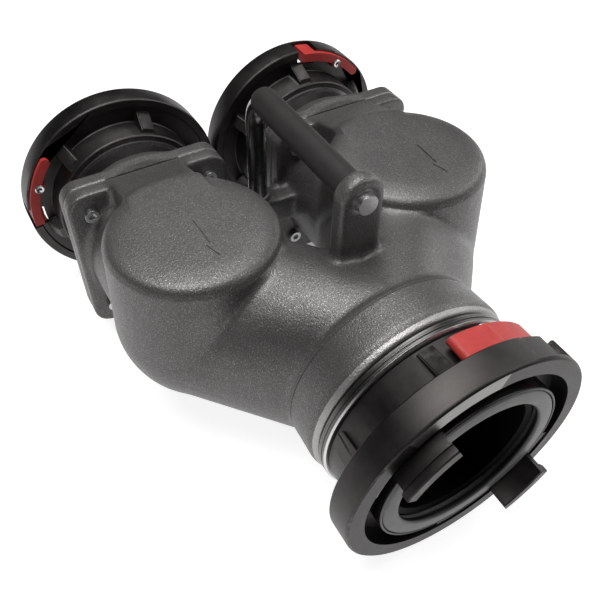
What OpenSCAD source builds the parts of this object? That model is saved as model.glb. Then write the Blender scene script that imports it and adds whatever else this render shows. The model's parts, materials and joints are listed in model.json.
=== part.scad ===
// Two-way collecting breeching: two large inlets with flap valves, one larger outlet, and a carrying handle.
// X runs across the two inlets, Y along the flow path from the outlet's sealing face (Y = 0) to the inlets,
// and Z up. The outlet's waterway lies on Y; the inlets' lie a little lower, by inlet_drop.

/* [Inlet couplings] */
// Inner radius of the two claws of an inlet coupling
in_claw_r = 74; // [68:0.5:80]
// Outer radius of an inlet lug ring
in_ring_r = 99; // [95:0.5:104]
// Radius of the waterway through an inlet tail
in_bore_r = 52; // [46:0.5:54]
// Outer radius of the inlet tail behind its head
in_tail_r = 66; // [64:0.5:67]
// Outer radius of the hub behind an inlet ring
in_hub_r = 74.5; // [72:0.5:76]
// Distance from an inlet sealing face to the back of its hub
in_hub_z = 48.5; // [42:0.5:52]
// Distance from an inlet sealing face to the back of its locking lever
in_lever_back = 28.5; // [26:0.5:30]
// Distance from an inlet's axis to its lever's pin
in_pin_at = 89.2; // [88:0.1:91]
// Drop of the inlet axes below the outlet's axis
inlet_drop = 2.7; // [0:0.1:5]

/* [Outlet coupling] */
// Inner radius of the two claws of the outlet coupling
out_claw_r = 80; // [76:0.5:84]
// Outer radius of the outlet lug ring
out_ring_r = 105; // [102:0.1:108]
// Radius of the waterway through the outlet tail
out_bore_r = 59; // [50:0.5:60]
// Outer radius of the outlet tail behind its head
out_tail_r = 72; // [70:0.5:73]
// Outer radius of the hub behind the outlet ring
out_hub_r = 85; // [82:0.5:86]
// Distance from the outlet sealing face to the back of its hub
out_hub_z = 57; // [50:0.5:60]
// Distance from the outlet sealing face to the back of its locking lever
out_lever_back = 47; // [36:0.5:48]
// Distance from the outlet's axis to its lever's pin
out_pin_at = 92; // [91.5:0.1:93]
// Gap between the outlet ring's edge and its lever
out_lever_in = 8; // [6:0.1:8.4]

/* [Lug rings] */
// Length of the rim along the axis
rim_w = 23.6; // [22:0.2:26]
// Distance from the sealing face to the front of the rim
rim_front = 0.8; // [0.4:0.1:1.2]
// Claw width as an angle round the ring
claw_angle = 30; // [24:1:34]
// Length of the claws in front of the sealing face
claw_reach = 18; // [15:0.5:20]
// Radial thickness of a claw's stem
claw_t = 6; // [5:0.2:6.4]
// Width of the hook at a claw's tip
hook_w = 4; // [3:0.2:5]
// Angle of the lip beside each claw, under which a mating claw turns
lip_angle = 79.5; // [60:0.5:86]
// Thickness of the lip along the axis
lip_t = 4.2; // [3:0.2:5]
// Depth of the groove that takes the mating claws
groove_z = 17.4; // [16:0.2:18]
// Thickness of the web at the back of the groove
web_t = 5.2; // [4.4:0.2:6]
// Number of spanner lugs on a hub
spanner_lugs = 6; // [4:1:8]
// Width of a spanner lug
spanner_w = 13; // [9:0.5:16]
// Height of a spanner lug above an inlet's hub
in_spanner_h = 11; // [6:0.5:11]
// Height of a spanner lug above the outlet's hub
out_spanner_h = 8; // [5:0.5:8]
// Running clearance between a lug ring and its tail
ring_fit = 0.1; // [0.05:0.01:0.1]
// Turn of the left inlet ring, to its lever's pin
left_turn = 158; // [0:1:359]
// Turn of the right inlet ring, to its lever's pin
right_turn = 59; // [0:1:359]
// Turn of the outlet ring, to its lever's pin
out_turn = 107; // [0:1:359]

/* [Locking levers] */
// Radial width of a locking lever
lever_w = 9; // [7:0.5:10]
// Radius of the eye round a lever's pin
lever_eye_r = 5.6; // [5.4:0.1:6]
// Gap between an inlet ring's edge and its lever
in_lever_in = 2.4; // [2:0.1:3]
// Angle of the finger end, from the pin
lever_finger = 20; // [16:1:22]
// Angle of the latch end, from the pin
lever_latch = 27; // [24:0.5:27]
// Angular width of the latch and of its notch in the rim
latch_angle = 9; // [7:0.5:11]
// Radius of the lever's pin
lever_pin_r = 2.6; // [2:0.1:3]
// Radius of the pin's rolled head
lever_head_r = 4.6; // [4:0.1:5]
// Running clearance of a lever on its pin
lever_fit = 0.08; // [0.05:0.01:0.1]
// Gap round a lever in its pocket
lever_gap = 0.8; // [0.6:0.1:1.2]
// Coil radius of the spring round a lever's pin
spring_r = 3.4; // [3.3:0.05:3.5]
// Wire radius of that spring
spring_wire = 0.6; // [0.5:0.05:0.65]

/* [Seals] */
// Radial width of a face seal
seal_w = 13.5; // [11:0.5:14]
// Depth of a face seal
seal_t = 9; // [7:0.5:10]
// Height of a face seal in front of the sealing face
seal_proud = 1; // [0.6:0.1:1.4]
// Wire radius of the rubber sealing rings
cord_r = 1.8; // [1.4:0.1:2.2]

/* [Valve chambers] */
// Distance from the outlet sealing face to the chamber axes
chamber_y = 234.8; // [225:0.5:245]
// Outer radius of a chamber
chamber_r = 76; // [74:0.5:78]
// Height of the chamber roof above the axes
chamber_top = 91.7; // [90:0.1:98]
// Radius of the rounded edge of the roof
roof_round = 11; // [7:0.5:13]
// Wall of the casting
wall = 6.5; // [5:0.5:9]
// Distance the chambers sit outward of the inlet axes
chamber_out = 1.5; // [0:0.1:2.5]
// Outer radius of the round neck between a chamber and its flange
neck_r = 67; // [66.5:0.5:70]
// Radius of the round space inside the neck
neck_bore_r = 62; // [60:0.5:62.5]
// Width of the raised roof over the neck
roof_w = 66; // [60:0.5:72]
// Length of the level part of that roof, from the chamber's axis
roof_flat = 50; // [30:1:60]

/* [Collar] */
// Outer radius of the collar at its front
collar_front_r = 91; // [89:0.1:92]
// Outer radius of the collar where the two legs meet it
collar_back_r = 89.5; // [86:0.1:91]
// Radius of the legs where they meet the collar
leg_end_r = 84.5; // [82:0.1:88]
// Distance from the outlet sealing face to where the legs meet the collar
collar_y = 106.25; // [100:0.25:115]
// Length of the bare turned band at the collar's front
band_w = 8; // [6:0.2:10]
// Wall of the end ring, from the outlet tail out to the band
band_wall = 16.8; // [15.6:0.1:17]
// Length of the step between the collar and the end ring
step_w = 1.5; // [1:0.1:2]
// Depth of that step
step_h = 2.6; // [2:0.1:3.5]

/* [Inlet flanges] */
// Distance from the chamber axes to the front of the flanges
flange_y = 100.2; // [96:0.1:104]
// Width of a flange
flange_w = 150; // [149:0.5:154]
// Height of a flange's top edge above the inlet axis
flange_top = 75.2; // [75:0.1:78]
// Depth of a flange's bottom edge below the inlet axis
flange_low = 79.5; // [76:0.5:82]
// Corner radius of a flange
flange_corner = 17; // [14:0.5:18]
// Thickness of each flange plate
plate_t = 14; // [12:0.5:16]
// Height of the raised pad on top of an inlet plate, above the inlet axis
pad_top = 80; // [76:0.5:82]
// Distance between neighbouring flange bolts
bolt_pitch = 112; // [110:0.5:116]
// Radius of a flange bolt's shank
bolt_r = 4; // [3:0.5:5]
// Radius of a flange bolt's head
bolt_head_r = 6.2; // [5.5:0.1:7.5]
// Height of a flange bolt's head
bolt_head_h = 5; // [4:0.5:8]
// Outer radius of the cast boss behind an inlet plate, at its back
boss_r = 70; // [68:0.5:73]
// Length of that boss
boss_l = 17; // [14:0.5:30]
// Radius of the rubber ring between the two flanges
flange_seal_r = 71.5; // [71.4:0.1:72]
// Distance from the back of a hub to the boss that the tail screws into
tail_show = 21; // [18:0.5:30]

/* [Flap valves] */
// Radius of the opening through a valve seat
seat_bore_r = 46; // [42:0.5:46.5]
// Radial width of a seat's raised face
seat_w = 4; // [3:0.5:4]
// Height of a seat in front of its plate
seat_h = 9.5; // [8:0.5:11]
// Outer radius of a flap
flap_r = 52; // [51.5:0.1:52]
// Thickness of a flap's plate
flap_t = 5; // [4:0.5:5]
// Thickness of a flap's rubber facing
facing_t = 3; // [2:0.5:4]
// Radius of a flap's hinge pin
hinge_r = 3.5; // [3:0.1:3.6]
// Height of the hinge above the inlet axis
hinge_z = 58; // [58:0.1:58.5]
// Width of a flap's hinge knuckle
knuckle_w = 20; // [18:0.5:20]
// Thickness of the two ears that carry the hinge pin
ear_t = 6; // [4:0.5:6]
// Radial clearance of the hinge
hinge_fit = 0.08; // [0.05:0.01:0.1]

/* [Handle] */
// Width of the cast post
post_w = 38; // [34:1:42]
// Thickness of the cast post
post_t = 16; // [14:0.5:24]
// Chamfer round the post
post_edge = 3; // [1:0.5:4]
// Distance from the chamber axes forward to the post's front face
post_y = 78.3; // [75:0.1:82]
// Height of the handle's axis above the waterways
handle_z = 131.5; // [126:0.5:138]
// Radius of the handle's steel rod
rod_r = 9; // [7:0.5:9]
// Radius of the rubber grip
grip_r = 12; // [10.5:0.5:14]
// Length of the rubber grip
grip_l = 143; // [130:0.5:144]
// Bend radius of the rod at the middle of its section
rod_bend = 30; // [24:0.5:34]
// Distance from the chamber axes to the rod's upright leg
rod_leg = 91; // [88:0.5:93]
// Radius of the handle bolt's head
handle_head_r = 8.2; // [7:0.2:9]
// Height of the handle bolt's head
handle_head_h = 6; // [5:0.5:7]

/* [Hidden] */
$fn = 96;
eps = 0.01;
seat = 0.3;                                   // gap at faces that only lie against each other
ring_gap = 2.2;                               // free space between the two inlet rings
inlet_x = in_ring_r + ring_gap / 2;           // inlet axes lie at -inlet_x and +inlet_x
chamber_x = inlet_x + chamber_out;
flange_front = chamber_y + flange_y;          // front face of the cast flanges
joint_y = flange_front + plate_t;             // face where the cast flange and the inlet plate meet
plate_back = joint_y + plate_t;
boss_back = plate_back + boss_l;
inlet_face = boss_back + tail_show + in_hub_z; // sealing plane of the inlets
end_ring_z0 = out_hub_z + seat;               // bare ring between the outlet hub and the collar
end_ring_z1 = end_ring_z0 + 8.4;
collar_face = end_ring_z1 + step_w;           // front face of the body casting
post_front = chamber_y - post_y;
post_back = post_front + post_t;
rod_y = chamber_y + rod_leg;                  // axis of the rod's upright leg
rod_boss_top = 22;
rod_boss_low = -18;
rod_thread_r = 5;
handle_bolt_r = 5;
cavity_r = chamber_r - wall;
hinge_y = joint_y - seat_h - 1;               // hinge pin's axis
flap_front = joint_y - seat_h - facing_t;     // face of the flap's plate that carries the facing
knuckle_r = hinge_r + 3;                      // round of the hinge's knuckle and ears
hinge_room = 66.5;                            // top of the space round the hinge
seat_sink = 5;                                // depth a valve seat is let into its plate
seat_out_r = seat_bore_r + seat_w + 2.4;
flange_cord_r = 1.2;                          // wire radius of the ring between the flanges
floor_z = groove_z + web_t;                   // back of a lug ring's web, where its lever lies
head_back = 14.3;                             // where a tail's head ends and its ring's web begins
lever_z0 = floor_z + 0.5;                     // front face of a lever
spanner_turn = 32;                            // turn of the first spanner lug from the lever's pin
out_spigot_r = 71;
in_spigot_r = 58;
in_spigot_l = 22;                             // length of an inlet tail inside its plate
out_spigot_l = 26;                            // length of the outlet tail inside the collar
in_spigot_end = in_hub_z + tail_show + in_spigot_l;
out_spigot_end = collar_face + out_spigot_l;
band_r = out_tail_r + band_wall;              // the band, turned below the cast surface

// ---------------------------------------------------------------- general shapes

// A sector of a disc from angle a0 to a1, drawn flat
module wedge_2d(r, a0, a1) {
  steps = max(2, ceil((a1 - a0) / 15));
  polygon(concat([[0, 0]], [for (i = [0:steps]) let (a = a0 + (a1 - a0) * i / steps)
    [r / cos(7.5) * cos(a), r / cos(7.5) * sin(a)]]));
}

// The same sector as a block, used to cut or keep part of a turned shape
module wedge(r, a0, a1, z0, z1) {
  translate([0, 0, z0]) linear_extrude(z1 - z0) wedge_2d(r, a0, a1);
}

// A flat ring between two radii and two heights
module tube(r0, r1, z0, z1) {
  difference() {
    translate([0, 0, z0]) cylinder(r = r1, h = z1 - z0);
    translate([0, 0, z0 - 1]) cylinder(r = r0, h = z1 - z0 + 2);
  }
}

// A rubber ring of round section
module cord(ring_r, wire_r, z) {
  rotate_extrude() translate([ring_r, z]) circle(wire_r, $fn = 48);
}

// Outline of a plate with round corners, from -low to top
module round_plate(w, top, low, r) {
  translate([0, (top - low) / 2]) {
    square([w - 2 * r, top + low], center = true);
    square([w, top + low - 2 * r], center = true);
    for (x = [-1, 1], y = [-1, 1]) translate([x * (w / 2 - r), y * ((top + low) / 2 - r)]) circle(r);
  }
}

// Places a shape made along Z on an inlet's or the outlet's axis.
// In the turned frame a point's z is its distance behind the sealing face.
module at_inlet(side) {
  translate([side * inlet_x, inlet_face, -inlet_drop]) rotate([90, 0, 0]) children();
}

module at_outlet() {
  rotate([90, 0, 180]) children();
}

// Places a shape made along Z at y on an inlet's axis, pointing towards the inlet
module on_inlet(side, y) {
  translate([side * inlet_x, y, -inlet_drop]) rotate([-90, 0, 0]) children();
}

// A shape drawn upright in X and Z, extruded along Y from y0 to y1
module along_y(y0, y1) {
  translate([0, y1, 0]) rotate([90, 0, 0]) linear_extrude(y1 - y0) children();
}

// A profile drawn in Y and Z, extruded along X to width w about x = 0
module along_x(w) {
  translate([-w / 2, 0, 0]) rotate([90, 0, 90]) linear_extrude(w) children();
}

// ---------------------------------------------------------------- couplings

// Lug ring: rim, claws, lips, hub with spanner lugs, pocket and notch for the lever
module lug_ring(claw_r, ring_r, tail_r, hub_r, hub_z, spanner_h, turn, lever_out, pin_at) {
  hook_r = claw_r + claw_t + hook_w;
  open_r = hook_r + 0.5;
  lip_r = claw_r + claw_t + 0.5;
  rim_back = rim_front + rim_w;
  head_r = claw_r - 1.5;
  bore_r = tail_r + ring_fit;
  difference() {
    union() {
      // rim, web and hub as one turned section
      rotate_extrude() polygon([
        [bore_r, head_back], [head_r, head_back], [head_r, groove_z], [open_r, groove_z],
        [open_r, rim_front], [ring_r - 1.8, rim_front], [ring_r - 0.5, rim_front + 1],
        [ring_r, rim_front + 2.4], [ring_r, rim_back - 1.2], [ring_r - 1.2, rim_back],
        [ring_r - 8, rim_back], [ring_r - 8.8, rim_back - 0.8], [ring_r - 8.8, floor_z],
        [hub_r + 1, floor_z], [hub_r, floor_z + 1], [hub_r, hub_z - 1.2], [hub_r - 1.2, hub_z],
        [bore_r, hub_z]]);
      // lips beside the claws
      intersection() {
        tube(lip_r, open_r + 1, rim_front + 1.8, rim_front + 1.8 + lip_t);
        for (k = [-50, 130])
          wedge(ring_r, turn + k - lip_angle / 2, turn + k + lip_angle / 2, 0, groove_z);
      }
      // claws
      intersection() {
        rotate_extrude() polygon([
          [claw_r, groove_z + 1], [claw_r, -claw_reach + 1], [claw_r + 1, -claw_reach],
          [hook_r - 1, -claw_reach], [hook_r, -claw_reach + 1], [hook_r, -claw_reach + 6],
          [claw_r + claw_t, -claw_reach + 8.5], [claw_r + claw_t, groove_z + 1]]);
        for (k = [-60, 120])
          wedge(ring_r, turn + k - claw_angle / 2, turn + k + claw_angle / 2,
            -claw_reach - 1, groove_z + 2);
      }
      // spanner lugs on the hub
      for (i = [0:spanner_lugs - 1])
        rotate(turn + spanner_turn + i * 360 / spanner_lugs) rotate([90, 0, 0])
          linear_extrude(spanner_w, center = true)
            polygon([[hub_r - 2, floor_z - 1], [hub_r + spanner_h, floor_z - 1],
              [hub_r + spanner_h, floor_z + 5], [hub_r + spanner_h - 1.5, floor_z + 8],
              [hub_r + 4, hub_z - 5], [hub_r - 2, hub_z - 3]]);
    }
    // pocket for the lever; beyond the pin it is open outwards, where the latch swings out
    intersection() {
      tube(lever_out - lever_w - lever_gap, lever_out + lever_gap, floor_z, rim_back + 1);
      wedge(ring_r + 5, turn - lever_finger - 5, turn + lever_latch + 3, floor_z - 1, rim_back + 2);
    }
    intersection() {
      tube(lever_out - lever_w - lever_gap, ring_r + 1, floor_z, rim_back + 1);
      wedge(ring_r + 5, turn + 3, turn + lever_latch + 3, floor_z - 1, rim_back + 2);
    }
    // notch that the latch drops through
    intersection() {
      tube(hook_r - 1, ring_r + 1, 5, rim_back + 1);
      wedge(ring_r + 5, turn + lever_latch - latch_angle - 1.5, turn + lever_latch + 3, 4, rim_back + 2);
    }
    // hole for the lever's pin
    rotate(turn) translate([pin_at, 0, head_back - 4]) cylinder(r = lever_pin_r, h = 30);
  }
}

// Locking lever: a curved rocker with a round finger end, an eye on its pin and a latch at the other end
module lever(claw_r, lever_out, pin_at, turn, lever_back) {
  mid_r = lever_out - lever_w / 2;
  hook_r = claw_r + claw_t + hook_w;
  difference() {
    union() {
      translate([0, 0, lever_z0]) linear_extrude(lever_back - lever_z0) {
        intersection() {
          difference() {
            circle(lever_out);
            circle(lever_out - lever_w);
          }
          wedge_2d(lever_out, turn - lever_finger + 3, turn + lever_latch);
        }
        rotate(turn - lever_finger + 3) translate([mid_r, 0]) circle(lever_w / 2);
        rotate(turn) translate([pin_at, 0]) circle(lever_eye_r);
      }
      // latch that drops into the notch
      intersection() {
        tube(hook_r + 1, lever_out, 6.5, lever_z0 + 1);
        wedge(lever_out, turn + lever_latch - latch_angle, turn + lever_latch, 6, lever_z0 + 2);
      }
    }
    rotate(turn) translate([pin_at, 0, 0]) {
      translate([0, 0, lever_z0 - 1]) cylinder(r = lever_pin_r + lever_fit, h = lever_back);
      translate([0, 0, lever_back - 2.7]) cylinder(r = spring_r + spring_wire + 0.35, h = 5);
    }
  }
}

// Hollow pin of a lever, with a rolled head at the back
module lever_pin(pin_at, turn, lever_back) {
  rotate(turn) translate([pin_at, 0, 0]) rotate_extrude() polygon([
    [0, head_back - 4 + seat], [lever_pin_r - 0.02, head_back - 4 + seat],
    [lever_pin_r - 0.02, lever_back + seat], [lever_head_r, lever_back + seat],
    [lever_head_r, lever_back + seat + 0.8], [lever_head_r - 0.9, lever_back + seat + 1.6],
    [lever_pin_r - 0.6, lever_back + seat + 1.2], [lever_pin_r - 1.2, lever_back + seat],
    [lever_pin_r - 1.2, lever_back - 3], [0, lever_back - 3]]);
}

// Coil spring under the pin's head, two turns of wire in the lever's counterbore
module lever_spring(pin_at, turn, lever_back) {
  rotate(turn) translate([pin_at, 0, lever_back - 2.3]) {
    cord(spring_r, spring_wire, spring_wire);
    cord(spring_r, spring_wire, 2.9 * spring_wire);
  }
}

// Tail: head with the face seal's groove, bearing for the lug ring, and a screwed spigot
module tail(claw_r, tail_r, bore_r, hub_z, body_end, spigot_r, spigot_end, snap_groove) {
  head_r = claw_r - 1.8;
  difference() {
    rotate_extrude() polygon([
      [bore_r, seal_t + 0.6], [head_r - seal_w - 1.6, seal_t - 2], [head_r - seal_w - 1.6, seal_t],
      [head_r - 2, seal_t], [head_r - 2, 0], [head_r - 0.8, -0.6], [head_r, 0.4],
      [head_r, head_back - seat], [tail_r, head_back - seat], [tail_r, body_end],
      [spigot_r, body_end], [spigot_r, spigot_end - 1], [spigot_r - 1, spigot_end],
      [bore_r, spigot_end]]);
    // groove for the rubber ring that seals the spigot
    tube(spigot_r - 2 * cord_r, spigot_r + 1, body_end + 2, body_end + 2.4 + 2 * cord_r);
    if (snap_groove) tube(tail_r - 1, tail_r + 1, hub_z + seat - 0.1, hub_z + seat + 2.5);
  }
}

module tail_seal(spigot_r, body_end) {
  cord(spigot_r - cord_r + 0.03, cord_r - 0.1, body_end + 2.2 + cord_r);
}

module face_seal(claw_r) {
  r1 = claw_r - 1.8 - 2.3;
  r0 = r1 - seal_w;
  rotate_extrude() polygon([
    [r0 + 3, seal_t - 0.3], [r1, seal_t - 0.3], [r1, 0.8], [r1 - 1.2, -seal_proud * 0.4],
    [r1 - 2.4, -seal_proud], [r0 + 1.5, -seal_proud], [r0, 0.6], [r0, 3], [r0 + 3, 5.5]]);
}

// ---------------------------------------------------------------- body casting

// Chamber: round foot, upright wall, rounded roof edge and flat roof
module chamber(r, top, round_r) {
  rotate_extrude() {
    square([r, top - round_r]);
    square([r - round_r, top]);
    intersection() {
      translate([r - round_r, top - round_r]) circle(round_r);
      square([r, top]);
    }
  }
  sphere(r);
}

// A leg from a chamber to the collar
module leg(side, r, end_r) {
  hull() {
    translate([side * chamber_x, chamber_y, 0]) sphere(r - 0.6, $fn = 40);
    translate([0, collar_y, 0]) rotate([-90, 0, 0]) cylinder(r = end_r, h = 1, $fn = 64);
  }
}

module flange_outline() {
  round_plate(flange_w, flange_top - inlet_drop, flange_low + inlet_drop, flange_corner);
}

// Four bolt places round a flange's middle
module bolt_places() {
  for (x = [-1, 1], z = [-1, 1]) translate([x * bolt_pitch / 2, z * bolt_pitch / 2, 0]) children();
}

module body_outside() {
  for (side = [-1, 1]) translate([side * chamber_x, 0, 0]) {
    translate([0, chamber_y, 0]) chamber(chamber_r, chamber_top, roof_round);
    // neck with its raised roof, falling to the flange's top edge
    translate([0, chamber_y, -inlet_drop]) rotate([-90, 0, 0]) cylinder(r = neck_r, h = flange_y + 1);
    along_x(roof_w) polygon([[chamber_y, 20], [chamber_y, chamber_top],
      [chamber_y + roof_flat, chamber_top], [joint_y, flange_top - inlet_drop], [joint_y, 20]]);
    along_y(flange_front, joint_y) flange_outline();
  }
  for (side = [-1, 1]) leg(side, chamber_r, leg_end_r);
  // collar with its bare turned band
  translate([0, collar_face, 0]) rotate([-90, 0, 0]) {
    cylinder(r = band_r, h = band_w + 1);
    translate([0, 0, band_w])
      cylinder(r1 = collar_front_r, r2 = collar_back_r, h = collar_y - collar_face - band_w + 1);
  }
  // post that carries the handle's front end
  hull() {
    along_y(post_front, post_back) {
      translate([0, handle_z]) circle(post_w / 2 - post_edge, $fn = 64);
      translate([-post_w / 2 + post_edge, 40]) square([post_w - 2 * post_edge, handle_z - 40]);
    }
    along_y(post_front + post_edge, post_back - post_edge) {
      translate([0, handle_z]) circle(post_w / 2, $fn = 64);
      translate([-post_w / 2, 40]) square([post_w, handle_z - 40]);
    }
  }
  // web between the two necks, with a boss for the handle's rear end
  translate([-chamber_x + neck_r - 8, rod_y - 12, -14])
    cube([2 * (chamber_x - neck_r + 8), joint_y - 1 - rod_y + 12 - 8, 28]);
  translate([0, rod_y, rod_boss_low]) cylinder(r = rod_r + 5, h = rod_boss_top - rod_boss_low);
}

module body_inside() {
  for (side = [-1, 1]) {
    translate([side * chamber_x, chamber_y, 0]) chamber(cavity_r, chamber_top - wall, roof_round - 3);
    leg(side, cavity_r, leg_end_r - wall);
    on_inlet(side, chamber_y) cylinder(r = neck_bore_r, h = flange_y + plate_t + 1);
    // space under the raised roof, and the narrower space round the hinge
    translate([side * chamber_x, 0, 0]) along_x(roof_w - 12) polygon([
      [chamber_y, 0], [chamber_y, chamber_top - wall], [chamber_y + roof_flat - 3, chamber_top - wall],
      [joint_y - 18, hinge_room + 2], [joint_y - 18, 0]]);
    translate([side * inlet_x, 0, -inlet_drop]) along_x(2 * (knuckle_w / 2 + ear_t + 2))
      translate([chamber_y, 0]) square([flange_y + plate_t + 1, hinge_room]);
  }
}

module body() {
  color("dimgray") difference() {
    body_outside();
    body_inside();
    // bore that takes the outlet tail's spigot, opening into the legs
    translate([0, collar_face - 1, 0]) rotate([-90, 0, 0]) {
      cylinder(r = out_spigot_r + 0.05, h = 30);
      translate([0, 0, 29]) cylinder(r = leg_end_r - wall, h = collar_y - collar_face - 27.5);
    }
    for (side = [-1, 1]) translate([side * chamber_x, flange_front - 1, -inlet_drop]) rotate([-90, 0, 0])
      bolt_places() cylinder(r = bolt_r + 0.3, h = plate_t + 2);
    // hole and spot face for the handle bolt
    translate([0, post_front - 1, handle_z]) rotate([-90, 0, 0]) {
      cylinder(r = handle_bolt_r + 0.2, h = post_t + 2);
      cylinder(r = handle_head_r + 2.4, h = 2);
    }
    // hole for the handle rod's rear end
    translate([0, rod_y, rod_boss_low - 1])
      cylinder(r = rod_thread_r + 0.15, h = rod_boss_top - rod_boss_low + 2);
  }
}

// ---------------------------------------------------------------- handle

// The rod's round section: straight through the grip, then bent down towards its boss
module rod_line(r) {
  translate([0, post_back + seat, handle_z]) rotate([-90, 0, 0])
    cylinder(r = r, h = rod_y - rod_bend - post_back - seat);
  translate([0, rod_y - rod_bend, handle_z - rod_bend]) rotate([90, 0, 90])
    rotate_extrude(angle = 90) translate([rod_bend, 0]) circle(r, $fn = 64);
  translate([0, rod_y, rod_boss_top + seat]) cylinder(r = r, h = handle_z - rod_bend - rod_boss_top - seat);
}

module handle_rod() {
  color("black") difference() {
    union() {
      rod_line(rod_r);
      translate([0, rod_y, rod_boss_low - 14]) cylinder(r = rod_thread_r, h = 60);
    }
    translate([0, post_back - 1, handle_z]) rotate([-90, 0, 0]) cylinder(r = handle_bolt_r + 0.02, h = 30);
  }
}

module handle_grip() {
  color([0.12, 0.12, 0.12]) difference() {
    translate([0, post_back + 2 * seat, handle_z]) rotate([-90, 0, 0]) rotate_extrude() polygon(concat(
      [[0, 0], [grip_r - 1, 0], [grip_r, 1]],
      [for (a = [0:15:75]) [grip_r - 8 + 8 * cos(a), grip_l - 8 + 8 * sin(a)]],
      [[0, grip_l]]));
    rod_line(rod_r + 0.02);
  }
}

module handle_bolt() {
  color("silver") translate([0, post_front + 1 - seat, handle_z]) rotate([-90, 0, 0]) {
    translate([0, 0, -handle_head_h]) cylinder(r = handle_head_r, h = handle_head_h);
    translate([0, 0, -eps]) cylinder(r = handle_bolt_r, h = post_t + 20);
  }
}

module handle_nut() {
  color("silver") translate([0, rod_y, rod_boss_low - seat - 8]) difference() {
    cylinder(r = 9.2, h = 8, $fn = 6);
    translate([0, 0, -1]) cylinder(r = rod_thread_r + 0.02, h = 10);
  }
}

// ---------------------------------------------------------------- flap valves

module inlet_plate(side) {
  color("dimgray") difference() {
    union() {
      translate([side * chamber_x, 0, 0]) {
        along_y(joint_y, plate_back) flange_outline();
        // raised pad across the top edge
        along_y(joint_y + 3, plate_back) translate([0, -inlet_drop]) intersection() {
          translate([0, pad_top - 100]) circle(100);
          translate([-roof_w / 2, 40]) square([roof_w, 60]);
        }
      }
      on_inlet(side, plate_back - 1) cylinder(r1 = boss_r + 4, r2 = boss_r, h = boss_l + 1);
      // ears for the flap's hinge pin
      for (x = [-1, 1]) translate([side * inlet_x + x * (knuckle_w / 2 + 0.5 + ear_t / 2), 0, -inlet_drop])
        along_x(ear_t) {
          translate([hinge_y, hinge_z]) circle(knuckle_r);
          translate([hinge_y, hinge_z - knuckle_r + 0.5])
            square([joint_y - hinge_y + 2, 2 * knuckle_r - 1]);
        }
    }
    // waterway, screwed socket for the tail and recess for the valve seat
    on_inlet(side, joint_y - 1) {
      cylinder(r = seat_bore_r, h = 60);
      cylinder(r = seat_out_r, h = 1 + seat_sink);
      // groove for the rubber ring between the flanges
      tube(flange_seal_r - flange_cord_r - 0.1, flange_seal_r + flange_cord_r + 0.1, 0,
        1 + 2 * flange_cord_r + 0.2);
    }
    on_inlet(side, inlet_face - in_spigot_end - 1) cylinder(r = in_spigot_r + 0.05, h = 60);
    translate([side * chamber_x, joint_y - 1, -inlet_drop]) rotate([-90, 0, 0])
      bolt_places() cylinder(r = bolt_r, h = plate_t - 1);
    translate([side * inlet_x - 40, hinge_y, hinge_z - inlet_drop]) rotate([0, 90, 0])
      cylinder(r = hinge_r, h = 80);
  }
}

module flange_seal(side) {
  color("black") on_inlet(side, joint_y) cord(flange_seal_r, flange_cord_r, flange_cord_r + 0.1);
}

module flange_bolts(side) {
  color("silver") translate([side * chamber_x, flange_front - seat, -inlet_drop]) rotate([-90, 0, 0])
    bolt_places() {
      difference() {
        translate([0, 0, -bolt_head_h]) cylinder(r = bolt_head_r, h = bolt_head_h);
        translate([0, 0, -bolt_head_h - 1]) cylinder(r = 3.4, h = 4, $fn = 6);
      }
      translate([0, 0, -eps]) cylinder(r = bolt_r - 0.02, h = 2 * plate_t - 4);
    }
}

module valve_seat(side) {
  color("darkgoldenrod") on_inlet(side, joint_y) rotate_extrude() polygon([
    [seat_bore_r, seat_sink - 0.3], [seat_bore_r, -seat_h + 1], [seat_bore_r + 1, -seat_h],
    [seat_bore_r + seat_w - 1, -seat_h], [seat_bore_r + seat_w, -seat_h + 1],
    [seat_bore_r + seat_w, 0], [seat_out_r - 0.1, 0], [seat_out_r - 0.1, seat_sink - 0.3]]);
}

// Flap: a disc with a centre boss and two arms up to its hinge knuckle
module flap(side) {
  back = flap_front - flap_t;
  color("gray") difference() {
    union() {
      on_inlet(side, back) {
        cylinder(r1 = flap_r - 1.5, r2 = flap_r, h = 1.5);
        translate([0, 0, 1.5 - eps]) cylinder(r = flap_r, h = flap_t - 1.5 + eps);
        translate([0, 0, -5]) cylinder(r1 = 13, r2 = 18, h = 5 + eps);
      }
      translate([side * inlet_x, 0, -inlet_drop]) {
        for (x = [-1, 1]) translate([x * 7, 0, 0]) along_x(6) polygon([
          [back + 1, -14], [back - 5, -4], [back - 5, hinge_z - 16], [hinge_y - knuckle_r + 0.5, hinge_z + 1],
          [hinge_y, hinge_z - hinge_r - 1], [flap_front - 1, hinge_z - 11]]);
        translate([0, hinge_y, hinge_z]) rotate([0, 90, 0])
          cylinder(r = knuckle_r, h = knuckle_w, center = true);
      }
    }
    translate([side * inlet_x - 40, hinge_y, hinge_z - inlet_drop]) rotate([0, 90, 0])
      cylinder(r = hinge_r + hinge_fit, h = 80);
    on_inlet(side, back - 6) cylinder(r = 4, h = 20);
  }
}

module flap_facing(side) {
  color("black") on_inlet(side, flap_front) tube(20, flap_r - 0.5, 0, facing_t - 0.1);
}

module facing_plate(side) {
  color("silver") on_inlet(side, flap_front) difference() {
    union() {
      cylinder(r = 19.8, h = facing_t);
      translate([0, 0, facing_t - 0.05]) cylinder(r1 = 40, r2 = 38.5, h = 2);
    }
    translate([0, 0, -1]) cylinder(r = 4, h = 12);
  }
}

module facing_screw(side) {
  color("silver") on_inlet(side, flap_front) {
    translate([0, 0, -flap_t - 8]) cylinder(r = 3.98, h = flap_t + 8 + facing_t + 2);
    translate([0, 0, facing_t + 2]) cylinder(r = 7, h = 4.5, $fn = 6);
  }
}

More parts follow.
